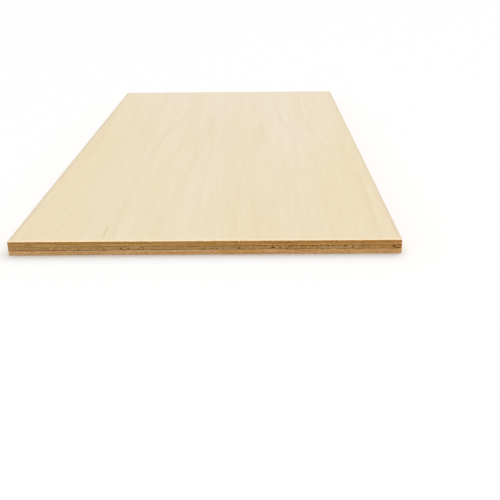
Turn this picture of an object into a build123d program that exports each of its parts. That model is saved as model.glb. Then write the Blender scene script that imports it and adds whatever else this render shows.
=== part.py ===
from build123d import *
import os

os.makedirs("parts", exist_ok=True)

# A birch plywood sheet of five veneers, lying flat with its back veneer on the floor.
# Origin: middle of the underside. The sheet's length runs along Y, its thickness along Z.

# Sheet, as sawn to size
sheet_width = 152.4
sheet_length = 304.8
corner_radius = 0.4

# Edges of the two outer faces, eased by sanding
arris_radius = 0.2

# Veneers, as pressed, with the two outer ones sanded down.
# The lay-up is balanced: each veneer has its twin on the other side of the core.
outer_thickness = 0.9
crossband_thickness = 1.2
core_thickness = 1.4

# Height of each veneer's underside above the floor
lower_crossband_height = outer_thickness
core_height = lower_crossband_height + crossband_thickness
upper_crossband_height = core_height + core_thickness
face_height = upper_crossband_height + crossband_thickness

# The pressed panel is sawn to size in one cut, so all its veneers share one outline
with BuildSketch() as outline:
    RectangleRounded(sheet_width, sheet_length, corner_radius)

# Back veneer: bottom ply, grain along the sheet, lower edges eased
with BuildPart() as back_veneer:
    with BuildSketch(Plane.XY):
        add(outline.sketch)
    extrude(amount=outer_thickness)
    fillet(back_veneer.edges().group_by(Axis.Z)[0], radius=arris_radius)

# Lower crossband: grain across the sheet
with BuildPart() as lower_crossband:
    with BuildSketch(Plane.XY.offset(lower_crossband_height)):
        add(outline.sketch)
    extrude(amount=crossband_thickness)

# Core veneer: middle ply, grain along the sheet
with BuildPart() as core_veneer:
    with BuildSketch(Plane.XY.offset(core_height)):
        add(outline.sketch)
    extrude(amount=core_thickness)

# Upper crossband: grain across the sheet
with BuildPart() as upper_crossband:
    with BuildSketch(Plane.XY.offset(upper_crossband_height)):
        add(outline.sketch)
    extrude(amount=crossband_thickness)

# Face veneer: top ply, grain along the sheet, upper edges eased
with BuildPart() as face_veneer:
    with BuildSketch(Plane.XY.offset(face_height)):
        add(outline.sketch)
    extrude(amount=outer_thickness)
    fillet(face_veneer.edges().group_by(Axis.Z)[-1], radius=arris_radius)

back_veneer.part.label = "back_veneer"
lower_crossband.part.label = "lower_crossband"
core_veneer.part.label = "core_veneer"
upper_crossband.part.label = "upper_crossband"
face_veneer.part.label = "face_veneer"

for veneer in (back_veneer, lower_crossband, core_veneer, upper_crossband, face_veneer):
    export_step(veneer.part, f"parts/{veneer.part.label}.step")
    print(veneer.part.label, "from", veneer.part.bounding_box().min, "to", veneer.part.bounding_box().max)
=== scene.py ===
# %% [markdown]
# # A birch plywood sheet
# Plywood is a stack of thin peeled veneers, glued so that the grain of each one crosses its neighbours'.
# The CAD model gives the five veneers their real sizes and places. This script gives them their looks:
# every veneer becomes a finely divided mesh with a sawn edge, and wears a birch finish made of nodes.
# The CAD model is loaded first, as a frame that nothing below moves. All lengths are in metres.

# %% Load the frame
import math
from functools import cache

import bpy
import numpy as np
from mathutils import Matrix, Vector
from mathutils.geometry import delaunay_2d_cdt


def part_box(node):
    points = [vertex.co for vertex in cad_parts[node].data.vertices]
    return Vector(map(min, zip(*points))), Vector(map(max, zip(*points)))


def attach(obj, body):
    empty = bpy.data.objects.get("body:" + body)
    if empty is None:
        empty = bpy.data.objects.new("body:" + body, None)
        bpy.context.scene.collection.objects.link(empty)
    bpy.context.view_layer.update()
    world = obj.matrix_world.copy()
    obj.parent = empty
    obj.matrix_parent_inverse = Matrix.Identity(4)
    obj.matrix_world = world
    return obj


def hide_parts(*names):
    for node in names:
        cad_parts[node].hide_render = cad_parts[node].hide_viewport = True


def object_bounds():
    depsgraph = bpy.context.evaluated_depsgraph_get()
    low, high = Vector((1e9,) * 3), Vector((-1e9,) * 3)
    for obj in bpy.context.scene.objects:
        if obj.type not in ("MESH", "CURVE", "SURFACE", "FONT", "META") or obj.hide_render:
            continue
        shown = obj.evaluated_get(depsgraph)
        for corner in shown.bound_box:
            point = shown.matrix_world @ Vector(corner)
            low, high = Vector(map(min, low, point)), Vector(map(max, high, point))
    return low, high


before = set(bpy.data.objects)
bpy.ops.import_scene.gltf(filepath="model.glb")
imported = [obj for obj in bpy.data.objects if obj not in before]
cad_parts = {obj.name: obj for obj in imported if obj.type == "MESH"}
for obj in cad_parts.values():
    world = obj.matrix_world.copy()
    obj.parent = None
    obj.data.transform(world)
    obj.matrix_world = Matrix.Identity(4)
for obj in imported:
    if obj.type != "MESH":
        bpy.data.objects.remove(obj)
cad_low, cad_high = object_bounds()
scene = bpy.context.scene
MM = 0.001
print("CAD box in mm:", [round(side / MM, 2) for side in cad_high - cad_low])

# %% [markdown]
# ## The camera
# The sheet is seen from just in front of one short side, from above, so that its face narrows strongly
# towards the back. A camera could be aimed by eye, but its lens and distance decide that narrowing
# together. They were fitted to the four sides of the sheet in the photograph instead, and the fit is
# written here as a place, three angles and a focal length in pixels of the square image.

# %% Camera
IMAGE_PIXELS = 500
FOCAL_PIXELS = 762.9
CAMERA_PLACE = Vector((20.0, -425.1, 113.6)) * MM
LOOK_DOWN = math.radians(22.3)
LOOK_LEFT = math.radians(0.51)
CAMERA_ROLL = math.radians(0.55)
NEAREST_SEEN = 10 * MM

camera = bpy.data.objects.new("camera", bpy.data.cameras.new("camera"))
camera.data.lens = camera.data.sensor_width * FOCAL_PIXELS / IMAGE_PIXELS
camera.data.clip_start = NEAREST_SEEN
camera.matrix_world = (
    Matrix.Translation(CAMERA_PLACE)
    @ Matrix.Rotation(LOOK_LEFT, 4, "Z")
    @ Matrix.Rotation(math.pi / 2 - LOOK_DOWN, 4, "X")
    @ Matrix.Rotation(-CAMERA_ROLL, 4, "Z")
)
scene.collection.objects.link(camera)
scene.camera = camera
print("lens in mm:", round(camera.data.lens, 1))

# %% [markdown]
# ## Shader sums in plain Python
# Light and finishes are graphs of nodes, and written out node by node they are hard to read. A small class
# wraps a node's output instead. Sums on it add Math nodes, colours go through Mix nodes, and one method
# adds every other kind of node: first its settings, then its sockets. Wood that darkens also gets redder,
# so one method makes a colour darker or lighter with a power for its green and a higher one for its blue.

# %% Wire
GREEN_POWER = 1.5
BLUE_POWER = 2.7


class Wire:
    """An output of a shader node, or only the node tree if it has no socket."""

    def __init__(self, tree, socket=None):
        self.tree = tree
        self.socket = socket

    def node(self, kind, settings=None, sockets=None, output=0):
        """Adds a node and returns one of its outputs, by number or identifier."""
        made = self.tree.nodes.new("ShaderNode" + kind)
        for name, value in (settings or {}).items():
            setattr(made, name, value)
        for name, value in (sockets or {}).items():
            socket = self.find(made.inputs, name)
            if isinstance(value, Wire):
                self.tree.links.new(value.socket, socket)
            else:
                socket.default_value = value
        return Wire(self.tree, self.find(made.outputs, output))

    @staticmethod
    def find(sockets, key):
        """A socket by its number, or by its identifier."""
        return sockets[key] if isinstance(key, int) else next(s for s in sockets if s.identifier == key)

    def into(self, socket):
        """Leads the output into a socket of a ready-made node."""
        self.tree.links.new(self.socket, socket)

    def sum(self, operation, first, second=0.0):
        """A Math node on one value or two."""
        return self.node("Math", {"operation": operation}, {0: first, 1: second})

    def __add__(self, other):
        return self.sum("ADD", self, other)

    def __radd__(self, other):
        return self.sum("ADD", other, self)

    def __sub__(self, other):
        return self.sum("SUBTRACT", self, other)

    def __rsub__(self, other):
        return self.sum("SUBTRACT", other, self)

    def __mul__(self, other):
        return self.sum("MULTIPLY", self, other)

    def __rmul__(self, other):
        return self.sum("MULTIPLY", other, self)

    def __pow__(self, other):
        return self.sum("POWER", self, other)

    def __abs__(self):
        return self.sum("ABSOLUTE", self)

    def fraction(self):
        """What is left above the next lower whole number."""
        return self.sum("FRACT", self)

    def rise(self, low, high):
        """0 below low and 1 above high, smoothly between. With high below low it falls."""
        sockets = {"Value": self, "From Min": low, "From Max": high}
        return self.node("MapRange", {"interpolation_type": "SMOOTHSTEP"}, sockets)

    def parts(self):
        """The three parts of a vector."""
        split = self.node("SeparateXYZ", {}, {0: self}).socket.node
        return [Wire(self.tree, socket) for socket in split.outputs]

    def mix(self, first, second, share, blend="MIX"):
        """A colour, changed towards a second one by a share."""
        settings = {"data_type": "RGBA", "blend_type": blend}
        sockets = {"Factor_Float": share, "A_Color": first, "B_Color": second}
        return self.node("Mix", settings, sockets, "Result_Color")

    def shaded(self, colour, share):
        """A wood colour, darker or lighter. As it darkens, green falls faster than red, and blue fastest."""
        tint = self.node("CombineColor", {}, {0: share, 1: share ** GREEN_POWER, 2: share ** BLUE_POWER})
        return self.mix(colour, tint, 1.0, "MULTIPLY")


print("shader sums are ready")

# %% [markdown]
# ## Floor and light
# The sheet is shown as a product is: on a white floor, under soft light from above. A softbox close by
# would light the floor unevenly, so the key light is a sun lamp with a very wide disc, which is as soft
# and the same everywhere. It leans in from behind, which leaves the front edge in half shade, as in the
# photograph. A white world fills the rest, and where it shows past the floor's end it is as bright.

# %% Floor and light
FLOOR_SIZE = 40.0
FLOOR_DROP = 0.02 * MM
FLOOR_WHITE = (0.94, 0.94, 0.935, 1)
FLOOR_ROUGHNESS = 0.9
FLOOR_SHINE = 0.1
SUN_STRENGTH = 2.1
SUN_WIDTH = math.radians(80)
SUN_LEAN = math.radians(24)
SUN_TURN = math.radians(-20)
FILL_WHITE = (1, 1, 1, 1)
FILL_STRENGTH = 0.455

scene.view_settings.view_transform = "Standard"

floor_reach = FLOOR_SIZE / 2
floor_corners = [
    (-floor_reach, -floor_reach, -FLOOR_DROP), (floor_reach, -floor_reach, -FLOOR_DROP),
    (floor_reach, floor_reach, -FLOOR_DROP), (-floor_reach, floor_reach, -FLOOR_DROP),
]
floor_mesh = bpy.data.meshes.new("floor")
floor_mesh.from_pydata(floor_corners, [], [range(4)])
floor = bpy.data.objects.new("floor", floor_mesh)
scene.collection.objects.link(floor)
floor_paint = bpy.data.materials.new("floor_paint")
floor_paint.use_nodes = True
matt = floor_paint.node_tree.nodes["Principled BSDF"].inputs
matt["Base Color"].default_value = FLOOR_WHITE
matt["Roughness"].default_value = FLOOR_ROUGHNESS
matt["Specular IOR Level"].default_value = FLOOR_SHINE
floor_mesh.materials.append(floor_paint)

sun = bpy.data.objects.new("sun", bpy.data.lights.new("sun", "SUN"))
sun.data.energy = SUN_STRENGTH
sun.data.angle = SUN_WIDTH
sun.rotation_euler = (-SUN_LEAN, 0, SUN_TURN)
scene.collection.objects.link(sun)

world = bpy.data.worlds.new("studio")
world.use_nodes = True
scene.world = world
background = world.node_tree.nodes["Background"].inputs
background["Color"].default_value = FILL_WHITE
is_seen = Wire(world.node_tree).node("LightPath", output="Is Camera Ray")
(is_seen * (1 - FILL_STRENGTH) + FILL_STRENGTH).into(background["Strength"])
print("floor, sun and fill light are set")

# %% [markdown]
# ## The outline, walked in small steps
# All veneers were sawn in one cut, so they share one outline: a rectangle with barely rounded corners.
# The relief of a sawn edge is a matter of tenths of a millimetre, so the outline is divided into short
# steps, or columns. A helper walks round any such rectangle, counter-clockwise from the front left corner,
# and gives each column its spot and the direction that points outwards there.

# %% Outline
COLUMNS_PER_WIDTH = 600
CORNER_COLUMNS = 8
CORNER_RADIUS = 0.4 * MM
SIDES = np.array([(0, -1), (1, 0), (0, 1), (-1, 0)], float)


def walk_round(half_sides, radius):
    """Spots on a rounded rectangle and the outward directions there, column by column."""
    spots = []
    outwards = []
    for side, travel in zip(SIDES, np.roll(SIDES, -1, 0)):
        reach = abs(travel) @ half_sides - radius
        depth = abs(side) @ half_sides
        columns = round(reach / (half_sides[0] - radius)) * COLUMNS_PER_WIDTH - CORNER_COLUMNS
        along = np.linspace(-reach, reach, columns, endpoint=False)[:, None]
        spots.append(travel * along + side * depth)
        outwards.append(np.repeat(side[None], columns, 0))
        turn = np.linspace(0, math.pi / 2, CORNER_COLUMNS, endpoint=False)[:, None]
        corner_outward = side * np.cos(turn) + travel * np.sin(turn)
        spots.append(travel * reach + side * (depth - radius) + corner_outward * radius)
        outwards.append(corner_outward)
    return np.concatenate(spots), np.concatenate(outwards)


half_size = np.array(cad_high[:2])
spot, outward = walk_round(half_size, CORNER_RADIUS)
step = np.linalg.norm(np.roll(spot, -1, 0) - spot, axis=1)
perimeter = step.sum()
distance = np.cumsum(step) - step
COLUMNS = len(spot)
print("outline:", COLUMNS, "columns,", round(perimeter / MM, 1), "mm round")

# %% [markdown]
# ## Wander
# Nothing on a sawn edge is quite straight, and nothing repeats. The wander of a line is random heights at
# regular knots, joined smoothly, and it comes back to its start after one round of the sheet. A sine wave
# would do that too, but would repeat. The seeds are fixed, so every run gives the same sheet. What happens
# at one place, such as a chip, is a bell instead, which rises and falls within its width.

# %% Wander
TRIAL_GAP = 5 * MM


def wander(knot_gap, seed, rows=None):
    """Smooth random values from -1 to 1 for every column, or for every column of several rows."""
    knots = round(perimeter / knot_gap)
    heights = np.random.default_rng(seed).uniform(-1, 1, (rows or 1, knots))
    place = distance / perimeter * knots
    before = place.astype(int)
    share = place - before
    share = share * share * (3 - 2 * share)
    values = heights[:, before % knots] * (1 - share) + heights[:, (before + 1) % knots] * share
    return values if rows else values[0]


def bell(offset, width):
    """1 at no offset, falling smoothly to 0 at the width."""
    return np.clip(1 - (offset / width) ** 2, 0, 1) ** 2


def from_place(place):
    """Distance along the outline from a place on it, the short way round."""
    return (distance - place + perimeter / 2) % perimeter - perimeter / 2


trial = wander(TRIAL_GAP, seed=1)
print("a wander with knots", round(TRIAL_GAP / MM), "mm apart has a spread of", round(float(trial.std()), 2))

# %% [markdown]
# ## The glue lines
# Where two veneers meet, pressing has left a glue line that wanders by a few hundredths of a millimetre.
# Straight joints would be simpler, but would look ruled. Both neighbours are built on the same line, so
# that they meet all along it. The outer faces are sanded flat, so they don't wander. On the front edge the
# joint below the core sinks at the left, and the one above it rises at the right. Both are listed, as
# seen: the joint's number, its place from the front left corner, width and rise in millimetres.

# %% Glue lines
VENEERS = ("back_veneer", "lower_crossband", "core_veneer", "upper_crossband", "face_veneer")
SLOW_GAP = 38 * MM
SLOW_WANDER = 0.05 * MM
FAST_GAP = 5 * MM
FAST_WANDER = 0.02 * MM
BENT_JOINTS = ((2, 26, 32, -0.2), (3, 145, 26, 0.18))

levels = [cad_low.z] + [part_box(veneer)[1].z for veneer in VENEERS]
lines = [np.full(COLUMNS, level) for level in levels]
for number in range(1, len(VENEERS)):
    slow = SLOW_WANDER * wander(SLOW_GAP, seed=10 + number)
    fast = FAST_WANDER * wander(FAST_GAP, seed=20 + number)
    lines[number] += slow + fast
for number, place, width, rise in BENT_JOINTS:
    lines[number] += rise * MM * bell(from_place(place * MM), width * MM)
print("glue lines at", [round(level / MM, 2) for level in levels[1:-1]], "mm")

# %% [markdown]
# ## Eased and chipped arrises
# An arris is the sharp edge where the face meets the sawn side. Sandpaper has taken a tenth of a millimetre
# or two off it, and the saw has broken small chips out of it, mostly where it crossed the ends of the
# fibres. A chip could be a cut of its own, but it is simpler as a short stretch where the easing is larger,
# which bites into the face and the edge alike. The largest ones in front are listed one by one: place from
# the middle, length and depth in millimetres. The others are drawn at random, between a least and a most:
# share of the way round, length and depth.

# %% Arrises
EASING = 0.13 * MM
EASING_GAP = 2.5 * MM
EASING_WANDER = 0.04 * MM
RAGGED_GAP = 0.7 * MM
RAGGED_WANDER = 0.06 * MM
SIDE_TEARING = 0.35
CHIPS = 140
CHIP_LEAST = (0, 0.4, 0.03)
CHIP_MOST = (1, 2.2, 0.22)
FRONT_CHIPS = (
    (-54.0, 1.6, 0.16), (-21.3, 3.4, 0.30), (-17.2, 1.2, 0.18), (31.0, 2.2, 0.20), (66.5, 1.4, 0.16),
)
GRAIN_ALONG = np.array((0.0, 1.0))
GRAIN_ACROSS = np.array((1.0, 0.0))


def eased_arris(seed, chips_by_hand=()):
    """Radius of an outer veneer's arris in every column."""
    torn = SIDE_TEARING + (1 - SIDE_TEARING) * abs(outward @ GRAIN_ALONG)
    radius = EASING + EASING_WANDER * wander(EASING_GAP, seed)
    radius += RAGGED_WANDER * torn * wander(RAGGED_GAP, seed + 1)
    for place, length, depth in chips_by_hand:
        radius += depth * MM * bell(from_place(half_size[0] + place * MM), length / 2 * MM)
    for place, length, depth in np.random.default_rng(seed).uniform(CHIP_LEAST, CHIP_MOST, (CHIPS, 3)):
        radius += torn * depth * MM * bell(from_place(place * perimeter), length / 2 * MM)
    return radius


face_arris = eased_arris(seed=31, chips_by_hand=FRONT_CHIPS)
back_arris = eased_arris(seed=35)
print("arris radius in mm:", round(face_arris.min() / MM, 2), "to", round(face_arris.max() / MM, 2))

# %% [markdown]
# ## The marks of the saw
# A saw leaves a different surface on each veneer. Where it cuts along the fibres they lie as fine streaks.
# Where it cuts across them the ends are torn, singly and in clumps. Between the veneers the hard glue film
# breaks away as a fine groove, and each veneer is set back a little more or less. The saw's teeth leave
# faint slanting marks over them all, and the gap between these drifts. All of it could be bump in the
# finish, but then the edge would look straight from the side. So it is an inset: how far each point lies
# behind the flat plane of the CAD model.

# %% Marks of the saw
TOOTH_GAP = 1.7 * MM
TOOTH_DEPTH = 0.010 * MM
TOOTH_SLANT = 0.4
TOOTH_DRIFT = 0.7
DRIFT_GAP = 24 * MM
STREAK_GAP = 7 * MM
STREAK_DEPTH = 0.018 * MM
TORN_GAP = 0.45 * MM
TORN_DEPTH = 0.045 * MM
CLUMP_GAP = 1.3 * MM
CLUMP_SHARE = 0.5
GROOVE_DEPTH = 0.04 * MM
GROOVE_SHARE = 0.025
STEP_GAP = 55 * MM
STEP_BACK = 0.02 * MM


def sawn_inset(ends, share, seed):
    """Inset of a veneer's edge by row and column. ends says how far each column shows the fibres' ends, and
    share how high each point lies within the veneer."""
    rows = len(share)
    drift = TOOTH_DRIFT * wander(DRIFT_GAP, seed=41)
    teeth = 1 + np.sin(2 * math.pi * (distance / TOOTH_GAP + drift + TOOTH_SLANT * share))
    streaks = abs(wander(STREAK_GAP, seed + 1, rows))
    torn = abs(wander(TORN_GAP, seed + 2, rows)) + CLUMP_SHARE * abs(wander(CLUMP_GAP, seed + 3))
    groove = np.exp(-share / GROOVE_SHARE) + np.exp((share - 1) / GROOVE_SHARE)
    set_back = 0.5 + 0.5 * wander(STEP_GAP, seed + 4)
    cut = TOOTH_DEPTH * teeth + STREAK_DEPTH * (1 - ends) * streaks + TORN_DEPTH * ends * torn
    return cut + GROOVE_DEPTH * groove + STEP_BACK * set_back


deepest = 2 * TOOTH_DEPTH + (1 + CLUMP_SHARE) * TORN_DEPTH + GROOVE_DEPTH + STEP_BACK
print("the marks of the saw are at most", round(deepest / MM, 2), "mm deep")

# %% [markdown]
# ## Hollows
# A saw also pulls fibres out of an edge, and opens what was hollow in the wood. Each hollow could be cut out
# with a boolean, but hundreds of them would be slow and leave slivers of faces. So a hollow pushes the
# edge's points inwards: a bell along the edge times a bell up and down, with ragged walls. It is a row of
# numbers: place on the outline, height, length, reach up and down, depth, and lean, which is how far it
# climbs from its middle to its end. Height, reach and lean are shares of the veneer's thickness.

# %% Hollows
NO_LEAN = 0
WALL_GAP = 0.4 * MM
WALL_RAGGED_SHARE = 0.5


def hollowed(share, hollows, seed):
    """Inset of the hollows by row and column. share says how high each point lies within the veneer."""
    inset = np.zeros((len(share), COLUMNS))
    for place, height, length, reach, depth, lean in hollows:
        along = from_place(place) / (length / 2)
        near = abs(along) < 1
        across = bell(share[:, near] - height - lean * along[near], reach)
        inset[:, near] += depth * bell(along[near], 1) * across
    return inset * (1 - WALL_RAGGED_SHARE * abs(wander(WALL_GAP, seed, len(share))))


def shows_ends(ends, share_round):
    """Whether the fibres end at a share of the way round the outline."""
    return ends[int(share_round * COLUMNS)] > 0.5


print("ragged walls take up to", WALL_RAGGED_SHARE, "of a hollow's depth away")

# %% [markdown]
# ## Pits and gouges
# The ends of birch fibres are pitted where the saw pulled whole bundles out, and along the fibres it leaves
# long shallow gouges. No eye tells one from another, so all of them are drawn at random, between a least
# and a most: share of the way round, share of the veneer's height, length in millimetres and share of the
# full depth.

# %% Pits and gouges
PIT_GAP = 1.6 * MM
PIT_DEPTH = 0.24 * MM
PIT_HEIGHT_SHARE = 0.25
PIT_LEAST = (0, 0.12, 0.25, 0.3)
PIT_MOST = (1, 0.88, 0.8, 1.0)
GOUGE_STRETCH = 8
GOUGE_DEPTH_SHARE = 0.4
PITS = round(perimeter / PIT_GAP)


def pits_and_gouges(ends, seed):
    """The hollows that the saw left in a veneer's edge."""
    found = []
    for place, height, length, depth in np.random.default_rng(seed).uniform(PIT_LEAST, PIT_MOST, (PITS, 4)):
        stretch, ease = (1, 1) if shows_ends(ends, place) else (GOUGE_STRETCH, GOUGE_DEPTH_SHARE)
        size = length * stretch * MM, PIT_HEIGHT_SHARE, depth * ease * PIT_DEPTH
        found.append((place * perimeter, height, *size, NO_LEAN))
    return found


print("pits and gouges on each veneer:", PITS)

# %% [markdown]
# ## Voids in the core
# The core is made of the plainest veneer, and has small open voids, which show as dark specks along the
# edge, and shallow breaks along its upper joint. Chance could place them all, but the row of specks is
# what this front edge is known by, so there they are listed, as seen: place from the middle, share
# of the veneer's height, length and depth, with lengths in millimetres. At the right end three thin
# splits, which also have a lean, go round a small lens of sound wood. The other edges have as many voids
# to the metre, drawn at random between a least and a most, and along the fibres they are long and
# shallow.

# %% Voids in the core
FRONT_VOIDS = (
    (-42.3, 0.55, 0.9, 0.4), (-32.8, 0.42, 1.1, 0.7), (-29.8, 0.40, 1.4, 0.5), (-24.5, 0.64, 1.1, 0.6),
    (-19.1, 0.95, 1.4, 0.5), (-0.6, 0.28, 1.1, 0.4), (2.5, 0.32, 1.2, 0.9), (4.4, 0.30, 0.9, 0.6),
    (12.9, 0.32, 1.2, 0.7), (26.1, 0.42, 2.0, 1.0), (28.9, 0.34, 1.4, 0.7), (31.4, 0.16, 1.1, 0.4),
    (32.2, 0.80, 1.9, 0.4), (37.6, 0.92, 1.6, 0.4), (41.6, 0.88, 1.5, 0.7), (43.1, 0.78, 1.1, 0.5),
    (44.5, 0.80, 1.2, 0.5), (47.2, 0.92, 2.2, 0.5), (49.4, 0.94, 1.6, 0.5), (53.9, 0.87, 1.5, 0.7),
    (56.6, 0.25, 1.1, 0.4), (57.0, 0.86, 1.2, 0.5), (60.9, 0.58, 0.9, 0.4), (62.8, 0.58, 0.9, 0.4),
    (67.0, 0.95, 8.0, 0.3), (72.6, 0.56, 1.3, 1.2), (72.4, 0.50, 1.7, 0.4),
)
FRONT_SPLITS = ((73.5, 0.84, 2.2, 0.5, 0.24), (75.0, 0.84, 2.2, 0.5, -0.24), (74.2, 0.14, 3.4, 0.5, -0.06))
VOID_LEAN_SHARE = 0.12
VOID_HEIGHT_SHARE = 0.19
SPLIT_HEIGHT_SHARE = 0.15
VOID_LEAST = (0.3, 0.6, 0.2)
VOID_MOST = (0.95, 1.6, 0.7)
VOID_STRETCH = 3.5
VOID_DEPTH_SHARE = 0.7


def core_voids(seed):
    """The voids and splits in the core's edge, as hollows."""
    random = np.random.default_rng(seed)
    ends = abs(outward @ GRAIN_ALONG)
    front = 2 * half_size[0]
    found = []
    for x, height, length, depth in FRONT_VOIDS:
        lean = random.uniform(-VOID_LEAN_SHARE, VOID_LEAN_SHARE)
        found.append((half_size[0] + x * MM, height, length * MM, VOID_HEIGHT_SHARE, depth * MM, lean))
    for x, height, length, depth, lean in FRONT_SPLITS:
        found.append((half_size[0] + x * MM, height, length * MM, SPLIT_HEIGHT_SHARE, depth * MM, lean))
    for _ in range(round(len(FRONT_VOIDS) * (perimeter / front - 1))):
        place = random.uniform(front, perimeter)
        height, length, depth = random.uniform(VOID_LEAST, VOID_MOST)
        at_ends = shows_ends(ends, place / perimeter)
        stretch, ease = (1, 1) if at_ends else (VOID_STRETCH, VOID_DEPTH_SHARE)
        size = length * stretch * MM, VOID_HEIGHT_SHARE, depth * ease * MM
        found.append((place, height, *size, NO_LEAN))
    return found


core_hollows = core_voids(seed=51)
print("voids and splits in the core:", len(core_hollows))

# %% [markdown]
# ## The flat of a veneer
# Inside the edge a veneer is flat, and needs few faces. One coarse plan of triangles serves every flat: it
# is ringed by a point for each few columns, a little way in, and is filled by Delaunay's rule, which keeps
# triangles from getting thin. A ready-made grid would not meet the rounded corners.

# %% Flat of a veneer
COLUMNS_PER_RING_POINT = 4
RING_INSET = 2.5 * MM
RING_CORNER = 0.8 * MM
FLAT_GAP = 6.0 * MM
FILL_INSIDE = 1
SAME_POINT = 1e-9

ring_spot = walk_round(half_size - RING_INSET, RING_CORNER)[0][::COLUMNS_PER_RING_POINT]
RING = len(ring_spot)
flat_reach = half_size - RING_INSET - FLAT_GAP / 2
flat_rows = [np.linspace(-reach, reach, round(2 * reach / FLAT_GAP)) for reach in flat_reach]
inner_spot = np.stack(np.meshgrid(*flat_rows), -1).reshape(-1, 2)
flat_spot = np.concatenate([ring_spot, inner_spot])
flat_points = [Vector(p) for p in flat_spot]
ring_edges = [(i, (i + 1) % RING) for i in range(RING)]
flat_triangles = delaunay_2d_cdt(flat_points, ring_edges, [], FILL_INSIDE, SAME_POINT)[2]
print("flat:", len(flat_spot), "points,", len(flat_triangles), "triangles")

# %% [markdown]
# ## A map for each veneer
# When the finish is painted into images, each face needs a place of its own in a square. Blender could
# unwrap the mesh by itself, but the edge is a ribbon nearly a metre long and a millimetre high. So it is cut
# into equal strips that are stacked on the right, and the flat that shows fills the left half. A flat inside
# the stack, which nobody sees, gets a small place above the strips. A flat's place is its lower left corner
# and its width, in shares of the square.

# %% Map places
STRIPS = 24
STRIP_LEFT = 0.51
STRIP_LENGTH = 0.48
STRIP_BOTTOM = 0.01
STRIP_PITCH = 0.026
STRIP_HEIGHT = 0.019
SHOWN_FLAT = ((0.01, 0.02), 0.48)
HIDDEN_LOWER_FLAT = ((0.52, 0.66), 0.15)
HIDDEN_UPPER_FLAT = ((0.74, 0.66), 0.15)


def strip_places(climb):
    """Map places of the edge's faces, four corners each. climb is how far up each row lies, from 0 to 1."""
    per_strip = COLUMNS // STRIPS
    row, column = np.divmod(np.arange((len(climb) - 1) * COLUMNS), COLUMNS)
    strip, within = np.divmod(column, per_strip)
    along = (within[:, None] + np.array([0, 1, 1, 0])) / per_strip
    u = STRIP_LEFT + STRIP_LENGTH * along
    up = climb[row[:, None] + np.array([0, 0, 1, 1])]
    v = STRIP_BOTTOM + STRIP_PITCH * strip[:, None] + STRIP_HEIGHT * up
    return np.stack([u, v], -1).reshape(-1, 2)


def flat_places(points, faces, flat):
    """Map places of a flat's faces, corner by corner."""
    corner, width = flat
    spots = points[[point for face in faces for point in face], :2]
    return corner + (spots + half_size) / (2 * half_size[0]) * width


print("strips reach up to", round(STRIP_BOTTOM + STRIP_PITCH * STRIPS, 2), "of the map's height")

# %% [markdown]
# ## The profile of an edge
# Before it is sawn, the edge of a veneer is a column of rows, straight up from glue line to glue line, and
# closest together at the lines, where the grooves are. The two outer veneers have three more rows that turn
# through a quarter circle at their arris. A bevel modifier could round it too, but each chip would need
# weights on its edges. Each row knows how upright it is, from 1 on the edge to 0 on the flat, so that the
# saw's marks fade out round the arris.

# %% Edge profile
ARRIS_TURNS = np.radians((30, 60, 90))
STRAIGHT_ROWS = 11
row_shares = (1 - np.cos(np.linspace(0, math.pi, STRAIGHT_ROWS))) / 2


def edge_profile(below, above, low_arris, high_arris):
    """Height, inset and uprightness of an edge's rows. An arris of 0 is a sharp one."""
    rows = []
    for share in row_shares:
        height = (below + low_arris) * (1 - share) + (above - high_arris) * share
        rows.append((height, np.zeros(COLUMNS), 1.0))
    for turn in ARRIS_TURNS:
        gap = 1 - math.sin(turn)
        inset = 1 - math.cos(turn)
        upright = math.cos(turn)
        if np.any(low_arris):
            rows.insert(0, (below + low_arris * gap, low_arris * inset, upright))
        if np.any(high_arris):
            rows.append((above - high_arris * gap, high_arris * inset, upright))
    height, inset, upright = (np.array(column) for column in zip(*rows))
    return height, inset, upright[:, None]


print("rows of an edge, as shares of its height:", row_shares.round(2))

# %% [markdown]
# ## The faces of a veneer
# The edge of a veneer is a grid: its columns go round the outline and its rows go up. Two flats close it, so
# the mesh is one watertight skin. Round each flat runs a border of wide faces, which meets every column on
# one side and the coarser ring on the other, so that no gap opens where the columns are finer.

# %% Faces of a veneer
BORDER_CORNERS = np.arange(COLUMNS_PER_RING_POINT + 1)


def edge_faces(rows):
    """The quads between an edge's rows."""
    row, column = np.divmod(np.arange((rows - 1) * COLUMNS), COLUMNS)
    after = (column + 1) % COLUMNS
    in_first_row = np.stack([column, after, after + COLUMNS, column + COLUMNS], 1)
    return (in_first_row + row[:, None] * COLUMNS).tolist()


def flat_faces(first_rim, first_flat):
    """The faces of a flat, seen from above: a border that meets every column, then the triangles."""
    faces = []
    for i in range(RING):
        rim = first_rim + (i * COLUMNS_PER_RING_POINT + BORDER_CORNERS) % COLUMNS
        faces.append([*rim.tolist(), first_flat + (i + 1) % RING, first_flat + i])
    return faces + [[first_flat + i for i in triangle] for triangle in flat_triangles]


print("faces of an edge:", len(edge_faces(STRAIGHT_ROWS)), "and of a flat:", len(flat_faces(0, COLUMNS)))

# %% [markdown]
# ## What the finish has to know
# Four facts are kept at each point of a veneer for its finish: whether it was sawn or sanded, whether the
# fibres end there, the height within the veneer, and the depth of a hollow, because dust and shade make a
# hollow darker. The finish could ask which way the surface faces instead, but the floor of a hollow faces up
# like the flat, and would look sanded. The arris was sanded after the saw, so the first fact falls quickly
# round it, and the arris has the flat's colour almost down to the edge.

# %% Facts
FACTS = ("sawn", "ends", "ply_height", "hollow")
FLAT_FACTS = ((0, 0), (0, 0), (0, 1), (0, 0))
SANDED_FALL = 5
DARK_DEPTH = 0.30 * MM


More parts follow.
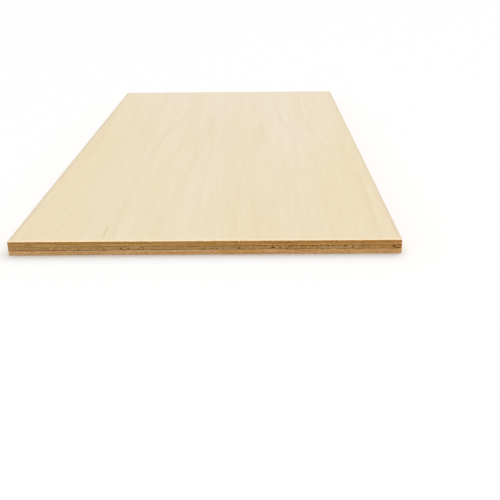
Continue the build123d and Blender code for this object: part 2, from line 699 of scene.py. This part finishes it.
def keep_facts(mesh, upright, ends, share, hollow):
    """Stores the facts at a veneer's points: all those of the edge, then of the lower and the upper flat."""
    on_edge = upright ** SANDED_FALL, ends, share, np.clip(hollow / DARK_DEPTH, 0, 1)
    for fact, edge_values, flat_values in zip(FACTS, on_edge, FLAT_FACTS):
        edge_values = np.broadcast_to(edge_values, share.shape).ravel()
        values = np.concatenate([edge_values, np.repeat(flat_values, len(flat_spot))]).astype("f")
        mesh.attributes.new(fact, "FLOAT", "POINT").data.foreach_set("value", values)


print("facts kept at each point:", ", ".join(FACTS))

# %% [markdown]
# ## Building a veneer
# All of this comes together in one mesh for each veneer. Its edge is the profile, set back by the hollows
# and by the marks of the saw. The points, the faces and the map are worked out as arrays and handed to
# Blender in one go, because tens of thousands of points would take long one by one. The map has the name
# that the export looks for. Edges that turn sharply stay crisp, and everything else is shaded smooth.

# %% Build a veneer
MAP_NAME = "OFBake"
SHARP_ANGLE = math.radians(50)


def build_veneer(name, number, grain, hollows=(), low_arris=0, high_arris=0):
    """One veneer as a closed mesh object."""
    below, above = lines[number], lines[number + 1]
    ends = abs(outward @ grain)
    height, inset, upright = edge_profile(below, above, low_arris, high_arris)
    climb = np.cumsum(np.hypot(np.diff(height[:, 0], prepend=height[0, 0]), np.diff(inset[:, 0], prepend=0)))
    share = (height - below) / (above - below)
    all_hollows = [*hollows, *pits_and_gouges(ends, seed=200 + number)]
    hollow = upright * hollowed(share, all_hollows, seed=300 + number)
    inset = inset + hollow + upright * sawn_inset(ends, share, seed=100 * (number + 1))

    edge = np.concatenate([spot - outward * inset[:, :, None], height[:, :, None]], 2).reshape(-1, 3)
    lower_flat, upper_flat = (np.insert(flat_spot, 2, level, axis=1) for level in levels[number:number + 2])
    points = np.concatenate([edge, lower_flat, upper_flat])

    sides = edge_faces(len(height))
    bottom = [face[::-1] for face in flat_faces(first_rim=0, first_flat=len(edge))]
    top = flat_faces(first_rim=len(edge) - COLUMNS, first_flat=len(edge) + len(flat_spot))
    places = np.concatenate([
        strip_places(climb / climb[-1]),
        flat_places(points, bottom, SHOWN_FLAT if number == 0 else HIDDEN_LOWER_FLAT),
        flat_places(points, top, SHOWN_FLAT if number == len(VENEERS) - 1 else HIDDEN_UPPER_FLAT),
    ])

    mesh = bpy.data.meshes.new(name)
    mesh.from_pydata(points, [], sides + bottom + top)
    mesh.uv_layers.new(name=MAP_NAME).uv.foreach_set("vector", places.astype("f").ravel())
    keep_facts(mesh, upright, ends, share, hollow)
    mesh.shade_smooth()
    mesh.set_sharp_from_angle(angle=SHARP_ANGLE)
    veneer = bpy.data.objects.new(name, mesh)
    scene.collection.objects.link(veneer)
    print(name, "has", len(mesh.vertices), "points and", len(mesh.polygons), "faces")
    return veneer


pieces = {
    "back_veneer": build_veneer("back_ply", 0, GRAIN_ALONG, low_arris=back_arris),
    "lower_crossband": build_veneer("lower_crossband_ply", 1, GRAIN_ACROSS),
    "core_veneer": build_veneer("core_ply", 2, GRAIN_ALONG, core_hollows),
    "upper_crossband": build_veneer("upper_crossband_ply", 3, GRAIN_ACROSS),
    "face_veneer": build_veneer("face_ply", 4, GRAIN_ALONG, high_arris=face_arris),
}

# %% [markdown]
# ## Birch as a solid
# A picture of wood pasted on a sheet would not match at its edges: streaks on the face have to end as specks
# on the front edge and run on as lines along the side. So birch is described as a solid, by noise in space
# that is drawn out along the grain. A small class knows the way that the grain runs and the facts kept in
# the mesh. Each pattern is a function of it, and a pattern that is used twice is kept, so that the colour
# and the bump share its nodes. Three patterns lie on the flat and the edge alike: fibres, the pores
# between them, and grit, which is single fibres: dots where they end, and hair lines along them.

# %% Birch solid
SEED_STEP = np.array((7.3, 3.1, 5.7))
SHIFT_STEP = np.array((1.0, -1.0, 2.0))


class Birch:
    """The wood of one veneer, for one material. The grain runs along x or y."""

    def __init__(self, wire, grain, seed):
        self.wire = wire
        self.grain = grain
        self.seed = seed
        self.sawn, self.ends, self.height, self.hollow = (
            wire.node("Attribute", {"attribute_name": fact}, output="Fac") for fact in FACTS
        )
        self.place = wire.node("TexCoord", output="Object")
        x, y, z = self.place.parts()
        self.rightwards = x * (1 / half_size[0])
        self.backwards = y * (1 / half_size[1])
        self.upwards = z * (2 / cad_high.z) - 1
        self.along, self.across = (x, y) if grain == "x" else (y, x)

    def drawn_out(self, along, across, depth, shift):
        """The place in space, scaled: how many features fit in a millimetre each way."""
        scale = np.array((along, across, depth) if self.grain == "x" else (across, along, depth)) / MM
        start = self.seed * SEED_STEP + shift * SHIFT_STEP
        sockets = {0: self.place, 1: scale, 2: start}
        return self.wire.node("VectorMath", {"operation": "MULTIPLY_ADD"}, sockets)

    def noise(self, along, across, depth, shift, detail=2.0, roughness=0.5):
        """Noise, drawn out. Each pattern has a shift of its own, so that no two look alike."""
        sockets = {"Vector": self.drawn_out(along, across, depth, shift), "Scale": 1.0}
        sockets |= {"Detail": detail, "Roughness": roughness}
        return self.wire.node("TexNoise", {}, sockets)


@cache
def fibres(birch):
    """Fine light and dark lines along the grain."""
    return birch.noise(along=0.04, across=2.2, depth=2.2, shift=3, detail=4.0)


@cache
def pores(birch):
    """Short dark dashes between the fibres."""
    return birch.noise(along=0.22, across=4.5, depth=4.5, shift=4, detail=1.0).rise(0.60, 0.72)


@cache
def grit(birch):
    """Single fibres, the finest pattern of all."""
    return birch.noise(along=0.3, across=8.0, depth=8.0, shift=17, detail=1.0)


print("birch is ready, with fibres, pores and grit")

# %% [markdown]
# ## The figure of the flat
# The knife that peels a veneer cuts the growth rings at a shallow angle, so their late wood shows as wide
# arches, far apart. Blender's Wave texture makes such rings, but evenly. Here the sum that counts the rings
# drifts slowly, and only its fraction is kept, which falls back to 0 at the end of each ring. Small brown
# flecks lie between them: a few cells of a Voronoi texture, drawn out along the grain, hold one each.

# %% Figure of the flat
RING_GAP = 27 * MM
RING_DRIFT = 4.5
RING_RAGGEDNESS = 0.16
RING_SHARPNESS = 10


@cache
def late_wood(birch):
    """Darkens slowly across each ring, then stops at a line that the fibres make ragged."""
    drift = birch.noise(along=0.0032, across=0.013, depth=0.05, shift=5, detail=1.5)
    ragged = birch.noise(along=0.05, across=1.4, depth=1.4, shift=6)
    fading = birch.noise(along=0.009, across=0.03, depth=0.05, shift=7).rise(0.35, 0.60)
    rings = birch.across * (1 / RING_GAP) + drift * RING_DRIFT + ragged * RING_RAGGEDNESS
    return rings.fraction() ** RING_SHARPNESS * fading


def scattered_flecks(birch):
    """Short brown marks, in few of the cells that space is divided into."""
    sockets = {"Vector": birch.drawn_out(along=0.016, across=0.11, depth=0.2, shift=8), "Scale": 1.0}
    near = birch.wire.node("TexVoronoi", {}, sockets, "Distance").rise(0.11, 0.05)
    chance = birch.wire.node("TexVoronoi", {}, sockets, "Color").parts()[0]
    return near * chance.rise(0.84, 0.86)


def fleck_at(birch, x, y, length, width):
    """One mark of a size in millimetres, drawn out along the grain."""
    along, across = (x, y) if birch.grain == "x" else (y, x)
    far_along = (birch.along - along * MM) * (2 / length / MM)
    far_across = (birch.across - across * MM) * (2 / width / MM)
    return (far_along * far_along + far_across * far_across).rise(1.0, 0.1)


print("late wood lies about", round(RING_GAP / MM), "mm apart")

# %% [markdown]
# ## The sanded flat
# The flat of a birch veneer is cream with a hint of honey, very even, and shows its figure only faintly. One
# colour would look like plastic, so slow bands decide between two tones, and the sheet is a little more
# golden towards its front and its sides: paler towards the back as painted sheen, and deeper at the sides
# as painted shade. Late wood and flecks are mixed in as thin browns, and fine streaks darken and lighten
# it all. A few flecks of the face veneer are listed, as seen: place from the middle, length and width in
# millimetres.

# %% Sanded flat
CREAM = (0.815, 0.705, 0.543, 1)
HONEY = (0.803, 0.682, 0.472, 1)
RING_BROWN = (0.52, 0.30, 0.12, 1)
FLECK_BROWN = (0.40, 0.26, 0.13, 1)
BACK_SHEEN_GRADIENT = 0.17
SIDE_SHADE_GRADIENT = 0.25
RING_STRENGTH = 0.12
FLECK_STRENGTH = 0.3
SEEN_FLECK_STRENGTH = 0.22
STREAK_CONTRAST = 0.075
FACE_FLECKS = (
    (-39.9, -138.8, 6.4, 1.0), (-40.2, -141.8, 5.0, 0.9), (-39.7, -145.6, 7.0, 1.1), (61.2, 8.4, 9.0, 0.9),
)


def sanded_flat(birch, flecks):
    """Colour of a veneer's flat. flecks are those placed by hand."""
    wire = birch.wire
    bands = birch.noise(along=0.004, across=0.03, depth=0.05, shift=1)
    streaks = birch.noise(along=0.011, across=0.33, depth=0.33, shift=2)
    # The bands are the wood's tone; paler towards the back is painted sheen, more golden at the sides
    # painted shade.
    tone_sheen_and_shade = bands - birch.backwards * BACK_SHEEN_GRADIENT + birch.rightwards * birch.rightwards * SIDE_SHADE_GRADIENT
    colour = wire.mix(CREAM, HONEY, tone_sheen_and_shade.rise(0.27, 0.85))
    colour = wire.mix(colour, RING_BROWN, late_wood(birch) * RING_STRENGTH)
    marks = scattered_flecks(birch) * FLECK_STRENGTH
    for fleck in flecks:
        marks = marks + fleck_at(birch, *fleck) * SEEN_FLECK_STRENGTH
    colour = wire.mix(colour, FLECK_BROWN, marks)
    return wire.shaded(colour, 1 + (streaks - 0.5) * STREAK_CONTRAST)


print("flecks placed by hand:", len(FACE_FLECKS))

# %% [markdown]
# ## The borders of the flat
# A narrow border of the flat along the front arris is warm and bright, a painted highlight. Along the other
# sides the flat is a little greyer and darker. Pointiness, which Blender measures at edges, would treat all
# four sides alike. The place on the sheet tells them apart, and the fibres break each border up.

# %% Borders of the flat
ARRIS_HIGHLIGHT = (0.98, 0.79, 0.51, 1)
HIGHLIGHT_WIDTH = 3.0 * MM
HIGHLIGHT_STRENGTH = 0.6
HIGHLIGHT_UNEVENNESS = 0.7
GREYED_ARRIS = (0.64, 0.53, 0.39, 1)
GREYED_WIDTH = 2.0 * MM
GREYED_STRENGTH = 0.2
GREYED_UNEVENNESS = 0.6


def bordered_flat(birch, flat):
    """Colour of a veneer's flat, with a painted highlight along the front arris and greyer borders
    elsewhere.
    """
    wire = birch.wire
    half_width, half_length = half_size
    # The front border is a painted highlight along the arris.
    highlight = birch.backwards.rise(HIGHLIGHT_WIDTH / half_length - 1, -1)
    at_back = birch.backwards.rise(1 - GREYED_WIDTH / half_length, 1)
    at_sides = abs(birch.rightwards).rise(1 - GREYED_WIDTH / half_width, 1)
    greyed = wire.sum("MAXIMUM", at_back, at_sides)
    flat = wire.mix(flat, GREYED_ARRIS, greyed * (GREYED_STRENGTH + fibres(birch) * GREYED_UNEVENNESS))
    return wire.mix(flat, ARRIS_HIGHLIGHT, highlight * (HIGHLIGHT_STRENGTH + fibres(birch) * HIGHLIGHT_UNEVENNESS))


print("the fresh border is", round(HIGHLIGHT_WIDTH / MM, 1), "mm wide, the greyed", round(GREYED_WIDTH / MM, 1))

# %% [markdown]
# ## The figure of the edge
# A saw tears the fibres that it cuts, which mottles the edge light and dark. Where the fibres end, the
# peeling knife has left its mark too: it bends the veneer as it cuts, and the inner side cracks at a slant
# every few millimetres. The cracks are too thin for geometry, so they are lines in the finish, wherever
# a slanting count of the gaps is half way to the next one. Noise makes them uneven, and hides some of them.

# %% Figure of the edge
CRACK_GAP = 2.3 * MM
CRACK_SLANT = 0.5
CRACK_DRIFT = 2
CRACK_RAGGEDNESS = 0.1


@cache
def torn_fibres(birch):
    """The mottled light and dark that tearing leaves."""
    return birch.noise(along=1.5, across=1.5, depth=1.9, shift=10, detail=5.0, roughness=0.6)


@cache
def knife_cracks(birch):
    """Thin lines that lean through the lower part of a veneer, where its fibres end."""
    drift = birch.noise(along=0.05, across=0.3, depth=0.1, shift=14) * CRACK_DRIFT
    ragged = birch.noise(along=0.05, across=2.5, depth=2.5, shift=15) * CRACK_RAGGEDNESS
    gaps = birch.across * (1 / CRACK_GAP) + birch.height * CRACK_SLANT + (drift + ragged)
    line = abs(gaps.fraction() - 0.5).rise(0.025, 0.006)
    bared = birch.noise(along=0.01, across=0.4, depth=0.1, shift=16).rise(0.44, 0.54)
    return line * bared * birch.height.rise(0.8, 0.5) * birch.ends


print("knife cracks lie about", round(CRACK_GAP / MM, 1), "mm apart")

# %% [markdown]
# ## The colour of the edge
# An edge is browner than the face, because it drinks up light. Where the saw ran along the fibres it is
# paler than at their ends. The layers of the wood show as streaks along the edge, the saw's teeth scratch it
# upright, and a stain turns it from orange to olive in patches, and rather on the left. The glue darkens a
# thin line at each joint. A film of its own between the veneers would be too thin to render, so the line is
# painted on both of them, in dashes. More glue was squeezed out on the upper right and the lower left. The
# same dashed line, stronger on the left, runs along the bottom of the sheet as painted shade.

# %% Colour of the edge
ORANGE_CAST = (1.03, 0.96, 0.86, 1)
OLIVE_CAST = (0.97, 1.12, 1.38, 1)
STAIN_LEAN = 0.16
LAYER_CONTRAST = 0.5
SCRATCH_CONTRAST = 0.2
SPECK_BROWN = (0.11, 0.045, 0.008, 1)
CRACK_STRENGTH = 0.5
SPECK_STRENGTH = 0.5
LINE_SHARE = 0.13
LINE_FADE_SHARE = 0.05
LINE_LEAN = 0.24
LINE_LEAST = 0.3


def sawn_edge(birch, side_tone, end_tone, tearing, staining):
    """Colour of a veneer's edge. tearing says how mottled it is, and staining how much its tone changes."""
    wire = birch.wire
    torn = torn_fibres(birch)
    layers = birch.noise(along=0.05, across=0.05, depth=3.2, shift=9)
    scratches = birch.noise(along=3.5, across=3.5, depth=0.25, shift=11)
    patches = birch.noise(along=0.02, across=0.02, depth=0.25, shift=12, detail=3.0)
    stain = (patches - birch.rightwards * STAIN_LEAN).rise(0.36, 0.64)
    colour = wire.mix(side_tone, end_tone, birch.ends)
    colour = wire.mix(colour, wire.mix(ORANGE_CAST, OLIVE_CAST, stain), staining, "MULTIPLY")
    streaks = 1 + (layers - 0.5) * LAYER_CONTRAST + (scratches - 0.5) * SCRATCH_CONTRAST
    colour = wire.shaded(colour, streaks + (torn - 0.5) * tearing)
    specks = knife_cracks(birch) * CRACK_STRENGTH + torn.rise(0.36, 0.24) * (SPECK_STRENGTH * tearing)
    return wire.mix(colour, SPECK_BROWN, specks)


def glue_and_shade_line(birch, strengths):
    """Glue lines on a veneer's edge, and painted shade under the sheet. strengths are those below and above.
    """
    squeezed = birch.noise(along=0.2, across=0.2, depth=0.5, shift=13, detail=2.5)
    squeezed = squeezed + birch.rightwards * birch.upwards * LINE_LEAN
    dashes = LINE_LEAST + squeezed.rise(0.40, 0.60) * (1 - LINE_LEAST)
    below, above = strengths
    bared = LINE_SHARE - LINE_FADE_SHARE
    at_bottom = birch.height.rise(LINE_SHARE, bared) * below
    at_top = birch.height.rise(1 - LINE_SHARE, 1 - bared) * above
    return (at_bottom + at_top) * dashes


print("glue shows on", LINE_SHARE, "of a veneer's thickness")

# %% [markdown]
# ## The colour of a veneer
# The facts kept in the mesh say whether the flat or the sawn edge shows. Fibres, pores and grit lie over
# both, and stand out more on the edge. Hollows are darkened with dust and painted shade, in patches as
# ragged as the torn fibres and the grit. Two materials on each veneer would do this too, but they would
# meet in a hard line at the arris, where the sanded wood really fades into the sawn.

# %% Colour of a veneer
GLUE_AND_SHADE_BROWN = (0.19, 0.09, 0.02, 1)
HOLLOW_DUST_AND_SHADE = (0.075, 0.030, 0.005, 1)
HOLLOW_STRENGTH = 0.9
FIBRE_CONTRAST = 0.10
FIBRE_CONTRAST_SAWN = 0.45
GRIT_CONTRAST = 0.04
GRIT_CONTRAST_SAWN = 0.66
PORE_DARKNESS = 0.05
PORE_DARKNESS_SAWN = 0.12


def veneer_colour(birch, side_tone, end_tone, tearing, staining, glue, flecks=()):
    """Colour all over a veneer. The contrasts named for the sawn edge come on top of the others there."""
    wire = birch.wire
    sawn = birch.sawn
    flat = bordered_flat(birch, sanded_flat(birch, flecks))
    edge = sawn_edge(birch, side_tone, end_tone, tearing, staining)
    colour = wire.mix(flat, edge, sawn)
    by_fibres = (fibres(birch) - 0.5) * (FIBRE_CONTRAST + sawn * FIBRE_CONTRAST_SAWN)
    by_grit = (grit(birch) - 0.5) * (GRIT_CONTRAST + sawn * GRIT_CONTRAST_SAWN)
    by_pores = pores(birch) * (PORE_DARKNESS + sawn * PORE_DARKNESS_SAWN)
    colour = wire.shaded(colour, 1 + (by_fibres + by_grit) - by_pores)
    # Glue at the joints, and painted shade along the bottom of the back veneer.
    colour = wire.mix(colour, GLUE_AND_SHADE_BROWN, glue_and_shade_line(birch, glue) * sawn)
    # Dust and painted shade darken each hollow, the more the deeper it is.
    ragged = birch.hollow * (torn_fibres(birch) + grit(birch))
    return wire.mix(colour, HOLLOW_DUST_AND_SHADE, ragged.rise(0.1, 1.0) * HOLLOW_STRENGTH)


print("a pore darkens the flat by", PORE_DARKNESS, "and the edge by", PORE_DARKNESS + PORE_DARKNESS_SAWN)

# %% [markdown]
# ## The finish of a veneer
# Bare birch is dull, and its sawn edge still more so. The roughness and a fine bump follow the same patterns
# as the colour, so that all of them agree wherever light strikes. The bump could be geometry, but fibres are
# far finer than the mesh. The five veneers come from different logs and different depths of one, so each has
# its own tones, for the sides and the ends of its fibres, and its own strengths of tearing, stain and glue.

# %% Veneer finish
FIBRE_RELIEF = 0.6
PORE_RELIEF = 0.4
RING_RELIEF = 0.1
GRIT_RELIEF = 0.5
BUMP_STRENGTH = 0.35
BUMP_DEPTH = 0.06 * MM
FLAT_ROUGHNESS = 0.5
EDGE_ROUGHNESS = 0.8
FIBRE_ROUGHNESS = 0.12
SHINE = 0.2


def veneer_finish(name, grain, seed, **looks):
    """Material of one veneer. The looks are those that veneer_colour takes."""
    material = bpy.data.materials.new(name)
    material.use_nodes = True
    wire = Wire(material.node_tree)
    birch = Birch(wire, grain, seed)
    sawn_relief = birch.sawn * (torn_fibres(birch) + grit(birch) * GRIT_RELIEF - knife_cracks(birch))
    relief = fibres(birch) * FIBRE_RELIEF - pores(birch) * PORE_RELIEF - late_wood(birch) * RING_RELIEF
    sockets = {"Strength": BUMP_STRENGTH, "Distance": BUMP_DEPTH, "Height": relief + sawn_relief}
    bump = wire.node("Bump", {}, sockets)
    roughness = FLAT_ROUGHNESS + fibres(birch) * FIBRE_ROUGHNESS
    roughness = roughness + birch.sawn * (EDGE_ROUGHNESS - FLAT_ROUGHNESS)
    shader = material.node_tree.nodes["Principled BSDF"].inputs
    veneer_colour(birch, **looks).into(shader["Base Color"])
    roughness.into(shader["Roughness"])
    bump.into(shader["Normal"])
    shader["Specular IOR Level"].default_value = SHINE
    return material


finishes = {
    "back_veneer": veneer_finish(
        "back_birch", "y", seed=5,
        side_tone=(0.84, 0.51, 0.21, 1), end_tone=(0.855, 0.48, 0.175, 1),
        # Below the back veneer there is no joint: its first glue strength is a painted shade line under the
        # sheet.
        tearing=0.9, staining=0.5, glue=(0.3, 0.2),
    ),
    "lower_crossband": veneer_finish(
        "lower_crossband_birch", "x", seed=4,
        side_tone=(0.82, 0.47, 0.186, 1), end_tone=(0.64, 0.34, 0.12, 1),
        tearing=0.9, staining=0.5, glue=(0.2, 0.92),
    ),
    "core_veneer": veneer_finish(
        "core_birch", "y", seed=3,
        side_tone=(0.66, 0.375, 0.14, 1), end_tone=(0.58, 0.302, 0.092, 1),
        tearing=1.5, staining=1.0, glue=(0.9, 0.9),
    ),
    "upper_crossband": veneer_finish(
        "upper_crossband_birch", "x", seed=2,
        side_tone=(0.61, 0.333, 0.094, 1), end_tone=(0.53, 0.28, 0.077, 1),
        tearing=0.9, staining=0.45, glue=(0.9, 0.3),
    ),
    "face_veneer": veneer_finish(
        "face_birch", "y", seed=1,
        side_tone=(0.66, 0.37, 0.12, 1), end_tone=(0.555, 0.26, 0.057, 1),
        tearing=0.9, staining=0.5, glue=(0.3, 0.0), flecks=FACE_FLECKS,
    ),
}
print("finishes:", [material.name for material in finishes.values()])

# %% [markdown]
# ## Dressing the frame
# Each veneer takes its finish, moves with the sheet's one body, and stands for its CAD node, which is
# hidden.

# %% Dress the frame
for veneer, piece in pieces.items():
    piece.data.materials.append(finishes[veneer])
    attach(piece, "root")
    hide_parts(veneer)
